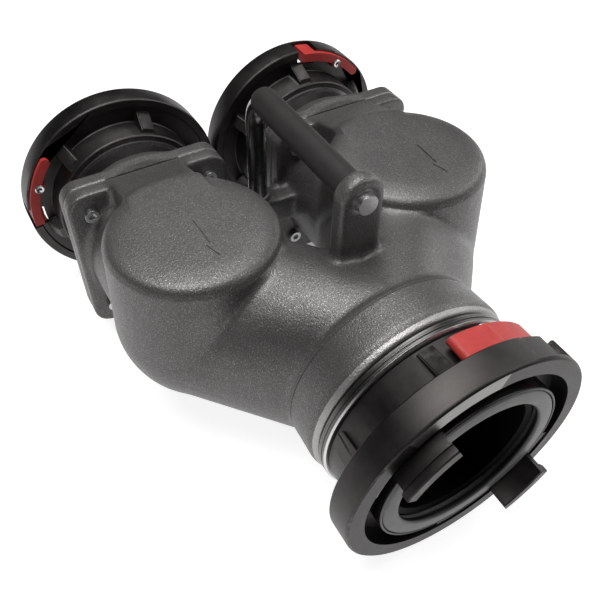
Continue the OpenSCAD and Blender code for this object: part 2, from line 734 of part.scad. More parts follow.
module hinge_pin(side) {
  reach = knuckle_w / 2 + 0.5 + ear_t;
  color("silver") translate([side * inlet_x, hinge_y, hinge_z - inlet_drop]) rotate([0, 90, 0])
    cylinder(r = hinge_r - 0.02, h = 2 * reach, center = true);
}

// ---------------------------------------------------------------- pieces of each coupling

module inlet_snap_ring(side) {
  color("silver") at_inlet(side) difference() {
    tube(in_tail_r - 0.95, in_tail_r + 3, in_hub_z + seat, in_hub_z + seat + 2.4);
    wedge(in_tail_r + 10, 262, 278, in_hub_z, in_hub_z + 4);
  }
}

module inlet_piece(piece, side) {
  turn = side < 0 ? left_turn : right_turn;
  lever_out = in_ring_r - in_lever_in;
  tail_end = in_hub_z + tail_show - seat;
  at_inlet(side) {
    if (piece == "lug_ring") color([0.13, 0.13, 0.14]) lug_ring(in_claw_r, in_ring_r, in_tail_r,
      in_hub_r, in_hub_z, in_spanner_h, turn, lever_out, in_pin_at);
    if (piece == "lever") color("firebrick") lever(in_claw_r, lever_out, in_pin_at, turn, in_lever_back);
    if (piece == "lever_pin") color("silver") lever_pin(in_pin_at, turn, in_lever_back);
    if (piece == "lever_spring") color("silver") lever_spring(in_pin_at, turn, in_lever_back);
    if (piece == "face_seal") color([0.55, 0.55, 0.55]) face_seal(in_claw_r);
    if (piece == "tail") color([0.15, 0.15, 0.16]) tail(in_claw_r, in_tail_r, in_bore_r, in_hub_z,
      tail_end, in_spigot_r, in_spigot_end, true);
    if (piece == "tail_seal") color("black") tail_seal(in_spigot_r, tail_end);
  }
}

module outlet_piece(piece) {
  lever_out = out_ring_r - out_lever_in;
  tail_end = collar_face - seat;
  at_outlet() {
    if (piece == "lug_ring") color([0.13, 0.13, 0.14]) lug_ring(out_claw_r, out_ring_r, out_tail_r,
      out_hub_r, out_hub_z, out_spanner_h, out_turn, lever_out, out_pin_at);
    if (piece == "lever") color("firebrick")
        lever(out_claw_r, lever_out, out_pin_at, out_turn, out_lever_back);
    if (piece == "lever_pin") color("silver") lever_pin(out_pin_at, out_turn, out_lever_back);
    if (piece == "lever_spring") color("silver") lever_spring(out_pin_at, out_turn, out_lever_back);
    if (piece == "face_seal") color([0.55, 0.55, 0.55]) face_seal(out_claw_r);
    if (piece == "tail") color([0.15, 0.15, 0.16]) tail(out_claw_r, out_tail_r, out_bore_r, out_hub_z,
      tail_end, out_spigot_r, out_spigot_end, false);
    if (piece == "tail_seal") color("black") tail_seal(out_spigot_r, tail_end);
    // bare ring between the hub and the collar, with a turned line round it
    if (piece == "end_ring") color("silver") rotate_extrude() polygon([
      [out_tail_r + 0.05, end_ring_z0], [band_r - 2, end_ring_z0], [band_r - 0.6, end_ring_z0 + 1.4],
      [band_r - 0.6, end_ring_z0 + 4], [band_r - 1.4, end_ring_z0 + 4], [band_r - 1.4, end_ring_z0 + 4.8],
      [band_r - 0.6, end_ring_z0 + 4.8], [band_r - 0.6, end_ring_z1], [band_r - step_h, end_ring_z1],
      [band_r - step_h, collar_face - seat], [out_tail_r + 0.05, collar_face - seat]]);
  }
}

// ---------------------------------------------------------------- all pieces

body();
handle_rod();
handle_grip();
handle_bolt();
handle_nut();

inlet_plate(-1);  // left_inlet_plate
flange_bolts(-1);  // left_flange_bolts
flange_seal(-1);  // left_flange_seal
valve_seat(-1);  // left_valve_seat
flap(-1);  // left_flap
flap_facing(-1);  // left_flap_facing
facing_plate(-1);  // left_facing_plate
facing_screw(-1);  // left_facing_screw
hinge_pin(-1);  // left_hinge_pin
inlet_piece("tail", -1);  // left_tail
inlet_piece("tail_seal", -1);  // left_tail_seal
inlet_piece("face_seal", -1);  // left_face_seal
inlet_snap_ring(-1);  // left_snap_ring
inlet_piece("lug_ring", -1);  // left_lug_ring
inlet_piece("lever", -1);  // left_lever
inlet_piece("lever_pin", -1);  // left_lever_pin
inlet_piece("lever_spring", -1);  // left_lever_spring

inlet_plate(1);  // right_inlet_plate
flange_bolts(1);  // right_flange_bolts
flange_seal(1);  // right_flange_seal
valve_seat(1);  // right_valve_seat
flap(1);  // right_flap
flap_facing(1);  // right_flap_facing
facing_plate(1);  // right_facing_plate
facing_screw(1);  // right_facing_screw
hinge_pin(1);  // right_hinge_pin
inlet_piece("tail", 1);  // right_tail
inlet_piece("tail_seal", 1);  // right_tail_seal
inlet_piece("face_seal", 1);  // right_face_seal
inlet_snap_ring(1);  // right_snap_ring
inlet_piece("lug_ring", 1);  // right_lug_ring
inlet_piece("lever", 1);  // right_lever
inlet_piece("lever_pin", 1);  // right_lever_pin
inlet_piece("lever_spring", 1);  // right_lever_spring

outlet_piece("end_ring");  // outlet_end_ring
outlet_piece("tail");  // outlet_tail
outlet_piece("tail_seal");  // outlet_tail_seal
outlet_piece("face_seal");  // outlet_face_seal
outlet_piece("lug_ring");  // outlet_lug_ring
outlet_piece("lever");  // outlet_lever
outlet_piece("lever_pin");  // outlet_lever_pin
outlet_piece("lever_spring");  // outlet_lever_spring
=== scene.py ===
# Two-way collecting breeching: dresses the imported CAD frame, in the CAD's own frame and in metres.
import json
import math
from collections import namedtuple

import bmesh
import bpy
import numpy as np
import openvdb
from mathutils import Matrix, Vector


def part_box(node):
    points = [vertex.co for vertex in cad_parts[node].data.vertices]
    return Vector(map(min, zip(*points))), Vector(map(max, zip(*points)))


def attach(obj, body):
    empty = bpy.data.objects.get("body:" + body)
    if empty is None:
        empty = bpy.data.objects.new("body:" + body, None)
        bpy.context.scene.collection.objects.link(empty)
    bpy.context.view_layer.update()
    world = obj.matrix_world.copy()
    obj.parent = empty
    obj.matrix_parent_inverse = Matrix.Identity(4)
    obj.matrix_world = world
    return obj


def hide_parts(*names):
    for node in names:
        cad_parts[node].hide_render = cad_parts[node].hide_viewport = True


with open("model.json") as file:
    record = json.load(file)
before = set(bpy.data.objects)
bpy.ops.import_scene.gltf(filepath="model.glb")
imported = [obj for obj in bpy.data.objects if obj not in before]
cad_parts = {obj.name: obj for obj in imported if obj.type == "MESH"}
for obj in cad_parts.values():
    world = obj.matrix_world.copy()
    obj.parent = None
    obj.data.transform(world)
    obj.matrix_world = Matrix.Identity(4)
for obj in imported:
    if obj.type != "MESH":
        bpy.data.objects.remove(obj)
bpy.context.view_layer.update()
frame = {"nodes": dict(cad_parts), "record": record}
nodes = frame["nodes"]

# ------------------------------------------------------------------ places, from the frame where it has them
SIDES = ("left", "right")
tail_lo, tail_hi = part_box("right_tail")
INLET_X = (tail_lo.x + tail_hi.x) / 2
INLET_Z = (tail_lo.z + tail_hi.z) / 2
INLET_FACE = tail_hi.y
pad_lo, pad_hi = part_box("right_flange_bolts")
PAD_X = (pad_lo.x + pad_hi.x) / 2                       # middle of a flange
body_lo, body_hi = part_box("body")


def inner_radius(node, cx, cz):
    """Radius of the hole through a ring or tube whose axis lies along Y."""
    return min(math.hypot(v.co.x - cx, v.co.z - cz) for v in nodes[node].data.vertices)


BORE_MARGIN = 0.0005
OUTLET_BORE_R = inner_radius("outlet_face_seal", 0, 0) + BORE_MARGIN
INLET_BORE_R = inner_radius("right_face_seal", INLET_X, INLET_Z) + BORE_MARGIN
JOINT_Y = body_hi.y                                     # where a flange and its inlet plate meet
BAND_Y = body_lo.y + 0.0052                             # end of the collar's machined band
FOOT_Y = 0.1042                                         # where the legs meet the collar
END_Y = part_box("outlet_end_ring")[0].y
bolt_lo, bolt_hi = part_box("handle_bolt")
BOLT_Z = (bolt_lo.z + bolt_hi.z) / 2
POST_Y = bolt_lo.y + 0.0053                             # the post's outer face, under the handle bolt's head
SEAT_R = 0.0106                                         # bare spot round the handle bolt
ROOF_Z = 0.0917                                         # height of the chambers' level roofs
ROD_Y = 0.3258                                          # axis of the handle rod's upright leg
ROOF_X, ROOF_Y = 0.1016, 0.2348                         # the chambers' axes
RIM_Z = min(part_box("outlet_lug_ring")[0].z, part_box("left_lug_ring")[0].z)

# a coupling ring: its axis, sealing face, which way along Y is inward, and the radii of its hub and claws
Ring = namedtuple("Ring", "x z face inward hub_r claw_r")
RINGS = {
    "outlet": Ring(0.0, 0.0, 0.0, 1, 0.085, 0.080),
    "left": Ring(-INLET_X, INLET_Z, INLET_FACE, -1, 0.0745, 0.074),
    "right": Ring(INLET_X, INLET_Z, INLET_FACE, -1, 0.0745, 0.074),
}


# ------------------------------------------------------------------ camera
CAM_PLACE = Vector((-0.24311, -0.15942, 0.45323))
CAM_HEADING, CAM_TILT, CAM_ROLL = 31.161, 47.105, 1.369   # degrees: from +Y towards +X, down, about the view
CAM_LENS, CAM_SENSOR = 42.416, 36                       # millimetres


def place_camera():
    """The scene's camera, with the picture's turn about its own axis last."""
    data = bpy.data.cameras.new("camera")
    data.sensor_width, data.lens = CAM_SENSOR, CAM_LENS
    data.clip_start, data.clip_end = 0.01, 20
    camera = bpy.data.objects.new("camera", data)
    bpy.context.scene.collection.objects.link(camera)
    heading = Matrix.Rotation(math.radians(-CAM_HEADING), 4, "Z")
    tilt = Matrix.Rotation(math.radians(90 - CAM_TILT), 4, "X")
    roll = Matrix.Rotation(math.radians(CAM_ROLL), 4, "Z")
    camera.matrix_world = Matrix.Translation(CAM_PLACE) @ heading @ tilt @ roll
    bpy.context.scene.camera = camera


place_camera()
bpy.context.scene.view_settings.view_transform = "Standard"


# ------------------------------------------------------------------ material helpers
class Nodes:
    """One material on the Principled shader. Most methods add a node and give back its output."""

    def __init__(self, name):
        self.mat = bpy.data.materials.new(name)
        self.mat.use_nodes = True
        self.tree = self.mat.node_tree
        self.tree.nodes.clear()
        self.out = self.tree.nodes.new("ShaderNodeOutputMaterial")
        self.bsdf = self.tree.nodes.new("ShaderNodeBsdfPrincipled")
        self.link(self.bsdf.outputs[0], self.out.inputs["Surface"])
        self.coord = self.tree.nodes.new("ShaderNodeTexCoord").outputs["Object"]

    def link(self, a, b):
        self.tree.links.new(a, b)

    def set(self, **values):
        for k, v in values.items():
            self.bsdf.inputs[k.replace("_", " ")].default_value = v

    def noise(self, scale, detail=3, rough=0.5, vector=None):
        n = self.tree.nodes.new("ShaderNodeTexNoise")
        n.inputs["Scale"].default_value = scale
        n.inputs["Detail"].default_value = detail
        n.inputs["Roughness"].default_value = rough
        self.link(vector or self.coord, n.inputs["Vector"])
        return n.outputs["Fac"]

    def mix(self, fac, a, b):
        n = self.tree.nodes.new("ShaderNodeMix")
        n.data_type = "RGBA"
        for v, i in ((fac, 0), (a, 6), (b, 7)):
            if isinstance(v, (int, float)):
                n.inputs[i].default_value = v if i == 0 else (v, v, v, 1)
            elif isinstance(v, tuple):
                n.inputs[i].default_value = (*v, 1)
            else:
                self.link(v, n.inputs[i])
        return n.outputs[2]

    def math(self, op, a, b=0.0):
        n = self.tree.nodes.new("ShaderNodeMath")
        n.operation = op
        for v, i in ((a, 0), (b, 1)):
            if isinstance(v, (int, float)):
                n.inputs[i].default_value = v
            else:
                self.link(v, n.inputs[i])
        return n.outputs[0]

    def hypot(self, a, b):
        return self.math("SQRT", self.math("ADD", self.math("POWER", a, 2.0), self.math("POWER", b, 2.0)))

    def away(self, a, b):
        """Distance of a from b."""
        return self.math("ABSOLUTE", self.math("SUBTRACT", a, b))

    def range(self, fac, a, b, c, d):
        """fac's span a to b becomes c to d, and is held there beyond it."""
        n = self.tree.nodes.new("ShaderNodeMapRange")
        self.link(fac, n.inputs[0])
        for i, v in zip((1, 2, 3, 4), (a, b, c, d)):
            n.inputs[i].default_value = v
        return n.outputs[0]

    def bump(self, height, strength, distance, normal=None):
        n = self.tree.nodes.new("ShaderNodeBump")
        n.inputs["Strength"].default_value = strength
        n.inputs["Distance"].default_value = distance
        self.link(height, n.inputs["Height"])
        if normal:
            self.link(normal, n.inputs["Normal"])
        return n.outputs[0]

    def place(self):
        n = self.tree.nodes.new("ShaderNodeSeparateXYZ")
        self.link(self.coord, n.inputs[0])
        return n.outputs

    def painted(self, name):
        """A mask that the mesh carries."""
        n = self.tree.nodes.new("ShaderNodeAttribute")
        n.attribute_name = name
        return n.outputs["Fac"]

    def pointy(self, lo, hi):
        """1 on sharp outer edges, from the mesh's own pointiness."""
        g = self.tree.nodes.new("ShaderNodeNewGeometry").outputs["Pointiness"]
        return self.range(g, lo, hi, 0, 1)

    def turned(self, scale=900.0):
        """Fine turning lines round a waterway, whose axis lies along Y."""
        mp = self.tree.nodes.new("ShaderNodeMapping")
        mp.inputs["Scale"].default_value = (2, scale, 2)
        self.link(self.coord, mp.inputs["Vector"])
        return self.noise(1.0, 2, 0.5, mp.outputs[0])


PAINT_LO, PAINT_HI = (0.098, 0.094, 0.091), (0.128, 0.124, 0.120)
BARE_LO, BARE_HI = (0.30, 0.29, 0.285), (0.44, 0.43, 0.42)
BAND_SHARP = 0.0002                                     # half the width over which a machined edge fades


def machined_faces(m, x, y, z, rag):
    """Masks of the casting: where it is bare, its dark closed joint and the painted shade along the collar's
    foot, and its pads.
    """
    band = m.range(m.math("ADD", y, rag), BAND_Y + BAND_SHARP, BAND_Y - BAND_SHARP, 0, 1)
    from_joint = m.math("ADD", m.away(y, JOINT_Y), rag)
    pad = m.range(m.away(m.math("ABSOLUTE", x), PAD_X), 0.0350, 0.0335, 0, 1)
    pad = m.math("MULTIPLY", pad, m.range(z, 0.030, 0.040, 0, 1))
    off_pad = m.math("SUBTRACT", 1.0, pad)
    joint = m.math("MULTIPLY", m.range(from_joint, 0.0009, 0.0006, 0, 1), off_pad)
    # dark lines: the closed joint across the pads, and painted shade in the crease at the foot of the collar
    seam = m.math("MULTIPLY", m.range(from_joint, 0.0011, 0.0004, 0, 1), pad)
    foot = m.range(m.away(m.math("ADD", y, rag), FOOT_Y), 0.0008, 0.0002, 0, 0.7)
    dark = m.math("MAXIMUM", seam, foot)
    # the handle bolt's seat, rubbed but not bright
    r = m.hypot(x, m.math("SUBTRACT", z, BOLT_Z))
    seat = m.range(r, SEAT_R + BAND_SHARP, SEAT_R - BAND_SHARP, 0, 0.45)
    seat = m.math("MULTIPLY", seat, m.range(y, POST_Y + 0.0022, POST_Y + 0.0018, 0, 1))
    edge = m.math("MULTIPLY", m.pointy(0.58, 0.64), m.range(m.noise(220, 4, 0.7), 0.5, 0.66, 0, 0.8))
    bare = m.math("MAXIMUM", m.math("MAXIMUM", band, joint), m.math("MAXIMUM", seat, edge))
    return bare, dark, pad


def hammered():
    """Dark grey paint with a fine hammered texture and bright flecks, bare metal on the machined faces, and
    painted shade along the collar's foot.
    """
    m = Nodes("hammered_paint")
    warm = m.noise(26, 3, 0.6)
    fleck = m.noise(1150, 2, 0.7)
    grain = m.noise(2100, 1, 0.5)
    rag = m.math("MULTIPLY", m.math("SUBTRACT", m.noise(900, 3, 0.6), 0.5), 0.0012)
    x, y, z = m.place()
    bare, dark, pad = machined_faces(m, x, y, z, rag)

    base = m.mix(m.range(warm, 0.3, 0.7, 0, 1), PAINT_LO, PAINT_HI)
    base = m.mix(m.range(fleck, 0.55, 0.68, 0, 0.85), base, (0.34, 0.335, 0.33))
    base = m.mix(m.range(grain, 0.32, 0.46, 0.6, 0), base, (0.040, 0.039, 0.039))
    # near-black on the closed joint, and painted shade in the crease along the collar's foot
    base = m.mix(m.math("MULTIPLY", dark, 0.85), base, (0.012, 0.011, 0.011))
    metal = m.mix(m.range(fleck, 0.35, 0.65, 0, 1), BARE_LO, BARE_HI)
    m.link(m.mix(bare, base, metal), m.bsdf.inputs["Base Color"])

    rough = m.mix(bare, m.range(fleck, 0.35, 0.7, 0.50, 0.33), 0.48)
    beside_joint = m.range(m.away(y, JOINT_Y + 0.003), 0.0065, 0.0045, 0, 1)
    matt = m.math("MAXIMUM", dark, m.math("MULTIPLY", pad, beside_joint))
    m.link(m.mix(matt, rough, 0.85), m.bsdf.inputs["Roughness"])
    m.link(m.range(bare, 0, 1, 0.55, 1.0), m.bsdf.inputs["Metallic"])
    m.bsdf.inputs["Specular IOR Level"].default_value = 0.55
    hammer = m.bump(m.noise(640, 2, 0.5), 0.38, 0.0009)
    m.link(m.bump(grain, 0.32, 0.0004, hammer), m.bsdf.inputs["Normal"])
    return m.mat


def bare_metal(name, colour, rough, scratch=0.12, turned=False):
    """Plain machined or plated metal, with turning lines where it was turned."""
    m = Nodes(name)
    n = m.noise(700.0, 3, 0.6)
    broad = m.noise(40, 2, 0.5)
    lo = tuple(c * 0.86 for c in colour)
    m.link(m.mix(m.range(broad, 0.3, 0.7, 0, 1), lo, colour), m.bsdf.inputs["Base Color"])
    m.link(m.range(n, 0.3, 0.7, rough - 0.06, rough + 0.10), m.bsdf.inputs["Roughness"])
    m.set(Metallic=1.0)
    h = m.turned() if turned else n
    m.link(m.bump(h, scratch, 0.0003), m.bsdf.inputs["Normal"])
    return m.mat


BLACK_LO, BLACK_HI = (0.050, 0.047, 0.046), (0.078, 0.073, 0.070)


def anodised(name="black_anodised", wear=1.0):
    """Hard black anodising: a dark satin metal, slightly mottled, paler on edges, and paler on front faces
    from wear together with a painted reflection; its whole black is scaled per ring as painted light and
    shade.
    """
    m = Nodes(name)
    broad = m.noise(34, 3, 0.6)
    fine = m.noise(850, 3, 0.6)
    # the black is scaled per ring as painted light and shade: darker on the outlet ring, lighter on the
    # inlet rings
    lo = tuple(c * wear for c in BLACK_LO)
    hi = tuple(c * wear for c in BLACK_HI)
    base = m.mix(m.range(broad, 0.35, 0.7, 0, 1), lo, hi)
    # paler front faces: wear from mating couplings, and a painted reflection of the floor
    rubbed_and_reflection = m.math("MULTIPLY", m.painted("worn"), m.range(fine, 0.3, 0.6, 0.75, 1.0))
    base = m.mix(rubbed_and_reflection, base, (0.285, 0.278, 0.272))
    edge = m.math("MULTIPLY", m.pointy(0.53, 0.62), m.range(m.noise(160, 3, 0.7), 0.46, 0.64, 0, 0.35))
    base = m.mix(edge, base, (0.22, 0.212, 0.206))
    m.link(base, m.bsdf.inputs["Base Color"])
    mottle = m.math("ADD", m.math("MULTIPLY", fine, 0.5), m.math("MULTIPLY", broad, 0.5))
    m.link(m.range(mottle, 0.3, 0.7, 0.38, 0.54), m.bsdf.inputs["Roughness"])
    m.set(Metallic=1.0)
    m.link(m.bump(fine, 0.14, 0.0002), m.bsdf.inputs["Normal"])
    return m.mat


def tail_metal():
    """Black anodising, dull down the waterway, where the bore is coloured near-black as painted shade."""
    m = Nodes("tail_black_anodised")
    x, y, z = m.place()
    fine = m.noise(850, 3, 0.6)
    inlet = m.range(y, 0.25, 0.26, 0, 1)                # 0 on the outlet's tail, 1 on the inlets'
    cx, cz = m.math("MULTIPLY", inlet, INLET_X), m.math("MULTIPLY", inlet, INLET_Z)
    r = m.hypot(m.math("SUBTRACT", m.math("ABSOLUTE", x), cx), m.math("SUBTRACT", z, cz))
    narrower = m.math("MULTIPLY", inlet, OUTLET_BORE_R - INLET_BORE_R)
    limit = m.math("SUBTRACT", OUTLET_BORE_R, narrower)
    # painted shade: the bore inside each tail is coloured near-black
    bore_shade = m.range(m.math("SUBTRACT", r, limit), 0.0002, -0.0002, 0, 1)
    base = m.mix(m.range(fine, 0.3, 0.7, 0, 1), (0.062, 0.059, 0.058), (0.090, 0.086, 0.083))
    m.link(m.mix(bore_shade, base, (0.012, 0.012, 0.013)), m.bsdf.inputs["Base Color"])
    m.link(m.mix(bore_shade, m.range(fine, 0.3, 0.7, 0.34, 0.50), 0.6), m.bsdf.inputs["Roughness"])
    m.set(Metallic=1.0)
    m.link(m.bump(fine, 0.12, 0.0002), m.bsdf.inputs["Normal"])
    return m.mat


def end_ring_metal():
    """Turned ring, dulled to dark grey, with a bright colour on its front bevel."""
    m = Nodes("turned_grey_metal")
    y = m.place()[1]
    lines = m.turned(scale=1400.0)
    fine = m.noise(700, 3, 0.6)
    base = m.mix(m.range(lines, 0.35, 0.65, 0, 1), (0.075, 0.073, 0.07), (0.16, 0.155, 0.15))
    # the front bevel is coloured bright
    bright = m.range(y, END_Y + 0.0016, END_Y + 0.0012, 0, 1)
    m.link(m.mix(bright, base, (0.62, 0.61, 0.60)), m.bsdf.inputs["Base Color"])
    m.link(m.range(fine, 0.3, 0.7, 0.28, 0.42), m.bsdf.inputs["Roughness"])
    m.set(Metallic=1.0)
    m.link(m.bump(lines, 0.2, 0.0003), m.bsdf.inputs["Normal"])
    return m.mat


def face_rubber():
    """Grey face seal: a pale worn face, with painted shade in near-black down its inner side."""
    m = Nodes("face_seal_rubber")
    fine = m.noise(900, 3, 0.6)
    broad = m.noise(60, 3, 0.6)
    base = m.mix(m.range(broad, 0.3, 0.7, 0, 1), (0.235, 0.232, 0.229), (0.290, 0.287, 0.282))
    # painted shade: the seal's inner side, down the bore, is coloured near-black
    base = m.mix(m.painted("inner_shade"), base, (0.012, 0.012, 0.012))
    m.link(base, m.bsdf.inputs["Base Color"])
    m.link(m.range(fine, 0.3, 0.7, 0.42, 0.56), m.bsdf.inputs["Roughness"])
    m.link(m.bump(fine, 0.12, 0.0003), m.bsdf.inputs["Normal"])
    return m.mat


def red_paint():
    """The levers' red paint, a little rubbed on its edges."""
    m = Nodes("red_lever_paint")
    broad = m.noise(60, 3, 0.6)
    fine = m.noise(700, 3, 0.6)
    base = m.mix(m.range(broad, 0.3, 0.7, 0, 1), (0.40, 0.024, 0.021), (0.50, 0.040, 0.034))
    wear = m.math("MULTIPLY", m.pointy(0.56, 0.66), m.range(m.noise(300, 4, 0.7), 0.47, 0.62, 0, 0.35))
    base = m.mix(wear, base, (0.62, 0.42, 0.38))
    m.link(base, m.bsdf.inputs["Base Color"])
    m.link(m.range(fine, 0.3, 0.7, 0.46, 0.60), m.bsdf.inputs["Roughness"])
    m.link(m.bump(fine, 0.12, 0.0003), m.bsdf.inputs["Normal"])
    return m.mat


def rubber(name, lo, hi, rough, scale=1100, bump=0.18, spec=0.5):
    """Matt rubber with a fine grain."""
    m = Nodes(name)
    fine = m.noise(scale, 3, 0.6)
    broad = m.noise(45, 3, 0.6)
    m.link(m.mix(m.range(broad, 0.3, 0.7, 0, 1), lo, hi), m.bsdf.inputs["Base Color"])
    m.link(m.range(fine, 0.3, 0.7, rough - 0.07, rough + 0.08), m.bsdf.inputs["Roughness"])
    m.link(m.bump(fine, bump, 0.0003), m.bsdf.inputs["Normal"])
    m.bsdf.inputs["Specular IOR Level"].default_value = spec
    return m.mat


def gloss_black():
    """The handle rod's glossy black finish."""
    m = Nodes("gloss_black_paint")
    fine = m.noise(240, 3, 0.6)
    base = m.mix(m.range(fine, 0.3, 0.7, 0, 1), (0.15, 0.15, 0.152), (0.21, 0.21, 0.21))
    m.link(base, m.bsdf.inputs["Base Color"])
    m.link(m.range(fine, 0.3, 0.7, 0.16, 0.26), m.bsdf.inputs["Roughness"])
    m.set(Metallic=1.0)
    m.link(m.bump(m.noise(120, 2, 0.5), 0.08, 0.0006), m.bsdf.inputs["Normal"])
    return m.mat


BLACK_RUBBER = (0.020, 0.018, 0.017), (0.030, 0.027, 0.026)
GREY_RUBBER = (0.20, 0.195, 0.19), (0.25, 0.245, 0.24)
MAT = {
    "casting": hammered(),
    "machined_aluminium": bare_metal("bare_aluminium", (0.78, 0.77, 0.76), 0.27, 0.10, True),
    "anodised_aluminium": anodised(),
    "lever_aluminium": red_paint(),
    "zinc_steel": bare_metal("zinc_steel", (0.62, 0.62, 0.62), 0.30),
    "black_steel": gloss_black(),
    "rubber": rubber("black_rubber", *BLACK_RUBBER, 0.62, spec=0.3),
    "seal_rubber": rubber("grey_rubber", *GREY_RUBBER, 0.58, scale=900, bump=0.12),
    "bronze": bare_metal("seat_bronze", (0.60, 0.42, 0.20), 0.32, 0.10, True),
}
slot_of = {s["node"]: s["material_slot"] for s in frame["record"]["subparts"]}

# finishes that differ from their slot's own
tail_black = tail_metal()
face_seal = face_rubber()
# the outlet ring's black is scaled darker as painted shade, and the inlet rings' lighter as painted light
OWN = {"outlet_end_ring": end_ring_metal(), "outlet_lug_ring": anodised("shaded_black_anodised_outlet", 0.8)}
for s in SIDES:
    OWN[s + "_lug_ring"] = anodised("lit_worn_black_anodised_" + s, 1.10)
for s in ("outlet", *SIDES):
    OWN[s + "_tail"] = tail_black
    OWN[s + "_face_seal"] = face_seal
finish = {n: OWN.get(n, MAT[slot_of[n]]) for n in nodes}
for n, o in nodes.items():
    o.data.materials.clear()
    o.data.materials.append(finish[n])


# ------------------------------------------------------------------ mesh helpers
def new_object(name, mesh, mat, body):
    """A visible piece of one material that rides on a body."""
    o = bpy.data.objects.new(name, mesh)
    bpy.context.scene.collection.objects.link(o)
    mesh.materials.clear()
    mesh.materials.append(mat)
    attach(o, body)
    return o


def body_of_node(node):
    bodies = frame["record"]["behaviour"]["bodies"]
    return next(body for body, members in bodies.items() if node in members)


def smooth(mesh, degrees):
    mesh.polygons.foreach_set("use_smooth", [True] * len(mesh.polygons))
    mesh.set_sharp_from_angle(angle=math.radians(degrees))


def clean_copy(node):
    """The node's mesh with its split points joined and its flat faces whole again."""
    bm = bmesh.new()
    bm.from_mesh(nodes[node].data)
    bmesh.ops.remove_doubles(bm, verts=bm.verts, dist=2e-6)
    bmesh.ops.dissolve_limit(bm, angle_limit=math.radians(0.4), verts=bm.verts, edges=bm.edges)
    mesh = bpy.data.meshes.new(node + "_shape")
    bm.to_mesh(mesh)
    bm.free()
    return mesh


def mark_inner_shade(mesh, node):
    """Marks the points near a face seal's inner edge, which get painted shade in near-black."""
    lo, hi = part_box(node)
    cx, cz = (lo.x + hi.x) / 2, (lo.z + hi.z) / 2
    attr = mesh.attributes.new("inner_shade", "FLOAT", "POINT")
    radius = [math.hypot(v.co.x - cx, v.co.z - cz) for v in mesh.vertices]
    limit = min(radius) + 0.0009
    for i, r in enumerate(radius):
        attr.data[i].value = 1.0 if r < limit else 0.0


def mark_worn_and_reflecting(mesh, ring):
    """Marks a ring's front faces, where mating couplings have worn the black thin, and which carry a painted
    reflection of the floor.
    """
    deepest = 0.012
    attr = mesh.attributes.new("worn", "FLOAT", "CORNER")
    for f in mesh.polygons:
        c = f.center
        along = ring.inward * (c.y - ring.face)
        outside_claws = math.hypot(c.x - ring.x, c.z - ring.z) > ring.claw_r
        front = -ring.inward * f.normal.y > 0.8 and outside_claws and -0.001 < along < deepest
        for i in f.loop_indices:
            attr.data[i].value = 1.0 if front else 0.0


def soft_lugs(mesh, ring):
    """Rounds the spanner lugs on a ring's hub, as the rough casting leaves them."""
    lugs_start, edge_round = 0.0285, 0.0022
    bm = bmesh.new()
    bm.from_mesh(mesh)

    def on_lug(f):
        c = f.calc_center_median()
        dx, dz = c.x - ring.x, c.z - ring.z
        r, along = math.hypot(dx, dz), ring.inward * (c.y - ring.face)
        flank = abs((f.normal.x * dx + f.normal.z * dz) / r) < 0.2 and abs(f.normal.y) < 0.2
        return r > ring.hub_r + 0.0006 and lugs_start < along and (flank or r > ring.hub_r + 0.003)

    lugs = {f for f in bm.faces if on_lug(f)}
    edges = [e for e in bm.edges if len(e.link_faces) == 2 and all(f in lugs for f in e.link_faces)
             and e.calc_face_angle(0) > 0.3]
    bmesh.ops.bevel(bm, geom=edges, offset=edge_round, segments=3, affect="EDGES", clamp_overlap=True)
    bm.to_mesh(mesh)
    bm.free()


EDGE_ANGLE = 28                                         # degrees from which an edge is rounded


def rounded(node, width, segments=2):
    """A copy of a node with its edges broken by a small round, standing for the node."""
    mesh = clean_copy(node)
    if node.endswith("lug_ring"):
        ring = RINGS[node.split("_")[0]]
        soft_lugs(mesh, ring)
        mark_worn_and_reflecting(mesh, ring)
    if node.endswith("face_seal"):
        mark_inner_shade(mesh, node)
    smooth(mesh, EDGE_ANGLE)
    o = new_object(node + "_finished", mesh, finish[node], body_of_node(node))
    b = o.modifiers.new("edges", "BEVEL")
    b.width = width
    b.segments = segments
    b.limit_method = "ANGLE"
    b.angle_limit = math.radians(EDGE_ANGLE)
    b.use_clamp_overlap = True
    b.harden_normals = True
    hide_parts(node)


# ------------------------------------------------------------------ the casting: soft fillets and rounds
def mesh_arrays(mesh):
    """The mesh's points and triangles."""
    mesh.calc_loop_triangles()
    v = np.zeros(len(mesh.vertices) * 3, np.float32)
    mesh.vertices.foreach_get("co", v)
    t = np.zeros(len(mesh.loop_triangles) * 3, np.int32)
    mesh.loop_triangles.foreach_get("vertices", t)
    return v.reshape(-1, 3), t.reshape(-1, 3)


def level_set(points, faces, voxel, reach):
    """Signed distances round a closed mesh, out to reach."""
    kind = "triangles" if faces.shape[1] == 3 else "quads"
    return openvdb.FloatGrid.createLevelSetFromPolygons(
        points, transform=openvdb.createLinearTransform(voxelSize=voxel),
        halfWidth=int(reach / voxel) + 3, **{kind: faces})


def soften(mesh, voxel, inner, outer):
    """Fills inner corners to a radius `inner` and rounds outer edges to a radius `outer`."""
    grid = level_set(*mesh_arrays(mesh), voxel, inner)
    grid = level_set(*grid.convertToQuads(isovalue=inner), voxel, inner + outer)
    grid = level_set(*grid.convertToQuads(isovalue=-(inner + outer)), voxel, outer)
    return grid.convertToQuads(isovalue=outer)


